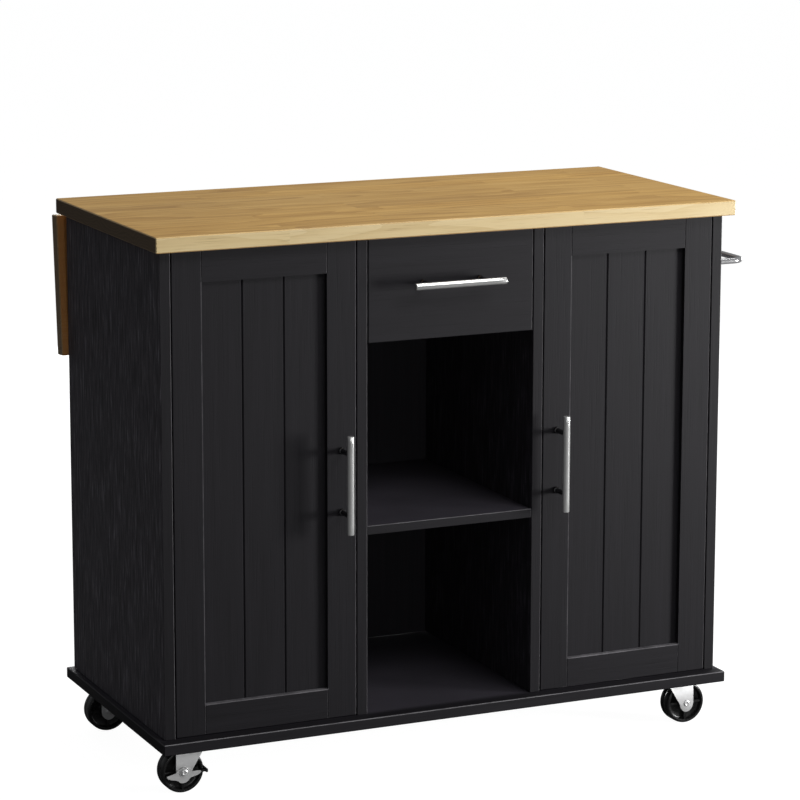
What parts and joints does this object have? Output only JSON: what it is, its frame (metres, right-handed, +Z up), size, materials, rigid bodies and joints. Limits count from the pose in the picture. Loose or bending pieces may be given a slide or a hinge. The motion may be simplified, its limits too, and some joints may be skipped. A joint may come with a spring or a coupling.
{
  "type": "kitchen island cart",
  "caption": "Rolling kitchen island cart with an oak worktop and drop leaf, a black two-door cabinet, a drawer over an open shelf bay, a towel rail and swivel casters.",
  "frame": {"origin": "on the floor, under the middle of the overall box with the leaf hanging", "axes": "+X to the right along the front, +Y to the rear where the leaf hangs, +Z up"},
  "size_m": [1.092, 0.535, 0.914],
  "materials": {
    "oak": "satin oak, lacquered",
    "black_wood": "satin black stain with fine grain",
    "inner_board": "satin black",
    "drawer_wood": "plain lacquered board",
    "bright_metal": "bright brushed nickel",
    "chrome": "polished",
    "wheel_plastic": "black, semi-gloss",
    "zinc_steel": "bright zinc plated"
  },
  "bodies": {
    "cabinet": {"tabletop": "oak", "base_board": "black_wood", "left_side_panel": "black_wood", "right_side_panel": "black_wood", "left_partition": "black_wood", "right_partition": "black_wood", "back_panel": "black_wood", "middle_shelf": "black_wood", "left_cabinet_shelf": "inner_board", "right_cabinet_shelf": "inner_board", "drawer_runner_left": "zinc_steel", "drawer_runner_right": "zinc_steel", "towel_rail": "chrome", "left_hinge_arm_lower": "zinc_steel", "left_hinge_arm_upper": "zinc_steel", "right_hinge_arm_lower": "zinc_steel", "right_hinge_arm_upper": "zinc_steel", "leaf_hinge_fixed_left": "zinc_steel", "leaf_hinge_fixed_right": "zinc_steel", "caster_plate_front_left": "zinc_steel", "caster_plate_front_right": "zinc_steel", "caster_plate_rear_left": "zinc_steel", "caster_plate_rear_right": "zinc_steel"},
    "left_door": {"left_door_frame": "black_wood", "left_door_panel": "black_wood", "left_door_handle": "bright_metal", "left_hinge_cup_lower": "zinc_steel", "left_hinge_cup_upper": "zinc_steel"},
    "right_door": {"right_door_frame": "black_wood", "right_door_panel": "black_wood", "right_door_handle": "bright_metal", "right_hinge_cup_lower": "zinc_steel", "right_hinge_cup_upper": "zinc_steel"},
    "drawer": {"drawer_front": "black_wood", "drawer_side_left": "drawer_wood", "drawer_side_right": "drawer_wood", "drawer_back": "drawer_wood", "drawer_bottom": "drawer_wood", "drawer_handle": "bright_metal", "drawer_slide_left": "zinc_steel", "drawer_slide_right": "zinc_steel"},
    "leaf": {"drop_leaf": "oak", "leaf_hinge_moving_left": "zinc_steel", "leaf_hinge_moving_right": "zinc_steel", "stay_bracket_left": "zinc_steel", "stay_bracket_right": "zinc_steel"},
    "left_lower_stay": {"stay_lower_left": "zinc_steel"},
    "right_lower_stay": {"stay_lower_right": "zinc_steel"},
    "left_upper_stay": {"stay_upper_left": "zinc_steel"},
    "right_upper_stay": {"stay_upper_right": "zinc_steel"},
    "fork_front_left": {"caster_fork_front_left": "zinc_steel"},
    "wheel_front_left": {"caster_wheel_front_left": "wheel_plastic"},
    "fork_front_right": {"caster_fork_front_right": "zinc_steel"},
    "wheel_front_right": {"caster_wheel_front_right": "wheel_plastic"},
    "fork_rear_left": {"caster_fork_rear_left": "zinc_steel"},
    "wheel_rear_left": {"caster_wheel_rear_left": "wheel_plastic"},
    "fork_rear_right": {"caster_fork_rear_right": "zinc_steel"},
    "wheel_rear_right": {"caster_wheel_rear_right": "wheel_plastic"},
    "brake_front_left": {"brake_lever_front_left": "zinc_steel"},
    "brake_rear_right": {"brake_lever_rear_right": "zinc_steel"}
  },
  "joints": [
    {"name": "left_door_hinge", "type": "hinge", "parent": "cabinet", "child": "left_door", "pos_m": [-0.514, -0.22651, 0.4935], "axis": [0, 0, -1], "range_deg": [0, 110]},
    {"name": "right_door_hinge", "type": "hinge", "parent": "cabinet", "child": "right_door", "pos_m": [0.452, -0.22651, 0.4935], "axis": [0, 0, 1], "range_deg": [0, 110]},
    {"name": "drawer_slide", "type": "slide", "parent": "cabinet", "child": "drawer", "axis": [0, -1, 0], "range_m": [0, 0.27]},
    {"name": "leaf_hinge", "type": "hinge", "parent": "cabinet", "child": "leaf", "pos_m": [-0.031, 0.23949, 0.8857], "axis": [1, 0, 0], "range_deg": [0, 94.5]},
    {"name": "left_lower_stay_pivot", "type": "hinge", "parent": "cabinet", "child": "left_lower_stay", "pos_m": [-0.5085, 0.21049, 0.735], "axis": [1, 0, 0], "range_deg": [0, 133.1]},
    {"name": "left_upper_stay_pivot", "type": "hinge", "parent": "leaf", "child": "left_upper_stay", "pos_m": [-0.5052, 0.2246, 0.75647], "axis": [1, 0, 0], "range_deg": [-135.6, 0]},
    {"name": "right_lower_stay_pivot", "type": "hinge", "parent": "cabinet", "child": "right_lower_stay", "pos_m": [0.4465, 0.21049, 0.735], "axis": [1, 0, 0], "range_deg": [0, 133.1]},
    {"name": "right_upper_stay_pivot", "type": "hinge", "parent": "leaf", "child": "right_upper_stay", "pos_m": [0.4432, 0.2246, 0.75647], "axis": [1, 0, 0], "range_deg": [-135.6, 0]},
    {"name": "front_left_swivel", "type": "hinge", "parent": "cabinet", "child": "fork_front_left", "pos_m": [-0.47, -0.18751, 0.0756], "axis": [0, 0, 1], "continuous": true},
    {"name": "front_left_wheel_spin", "type": "hinge", "parent": "fork_front_left", "child": "wheel_front_left", "pos_m": [-0.494, -0.18751, 0.036], "axis": [0, 1, 0], "continuous": true},
    {"name": "front_right_swivel", "type": "hinge", "parent": "cabinet", "child": "fork_front_right", "pos_m": [0.408, -0.18751, 0.0756], "axis": [0, 0, 1], "continuous": true},
    {"name": "front_right_wheel_spin", "type": "hinge", "parent": "fork_front_right", "child": "wheel_front_right", "pos_m": [0.432, -0.18751, 0.036], "axis": [0, 1, 0], "continuous": true},
    {"name": "rear_left_swivel", "type": "hinge", "parent": "cabinet", "child": "fork_rear_left", "pos_m": [-0.47, 0.17449, 0.0756], "axis": [0, 0, 1], "continuous": true},
    {"name": "rear_left_wheel_spin", "type": "hinge", "parent": "fork_rear_left", "child": "wheel_rear_left", "pos_m": [-0.494, 0.17449, 0.036], "axis": [0, 1, 0], "continuous": true},
    {"name": "rear_right_swivel", "type": "hinge", "parent": "cabinet", "child": "fork_rear_right", "pos_m": [0.408, 0.17449, 0.0756], "axis": [0, 0, 1], "continuous": true},
    {"name": "rear_right_wheel_spin", "type": "hinge", "parent": "fork_rear_right", "child": "wheel_rear_right", "pos_m": [0.432, 0.17449, 0.036], "axis": [0, 1, 0], "continuous": true},
    {"name": "front_left_brake", "type": "hinge", "parent": "fork_front_left", "child": "brake_front_left", "pos_m": [-0.494, -0.18751, 0.036], "axis": [0, 1, 0], "range_deg": [0, 20]},
    {"name": "rear_right_brake", "type": "hinge", "parent": "fork_rear_right", "child": "brake_rear_right", "pos_m": [0.432, 0.17449, 0.036], "axis": [0, -1, 0], "range_deg": [0, 20]}
  ],
  "couplings": [
    {"joint": "left_lower_stay_pivot", "follows": "leaf_hinge", "ratio": 1.4027},
    {"joint": "left_upper_stay_pivot", "follows": "leaf_hinge", "ratio": -1.4301},
    {"joint": "right_lower_stay_pivot", "follows": "leaf_hinge", "ratio": 1.4027},
    {"joint": "right_upper_stay_pivot", "follows": "leaf_hinge", "ratio": -1.4301}
  ]
}
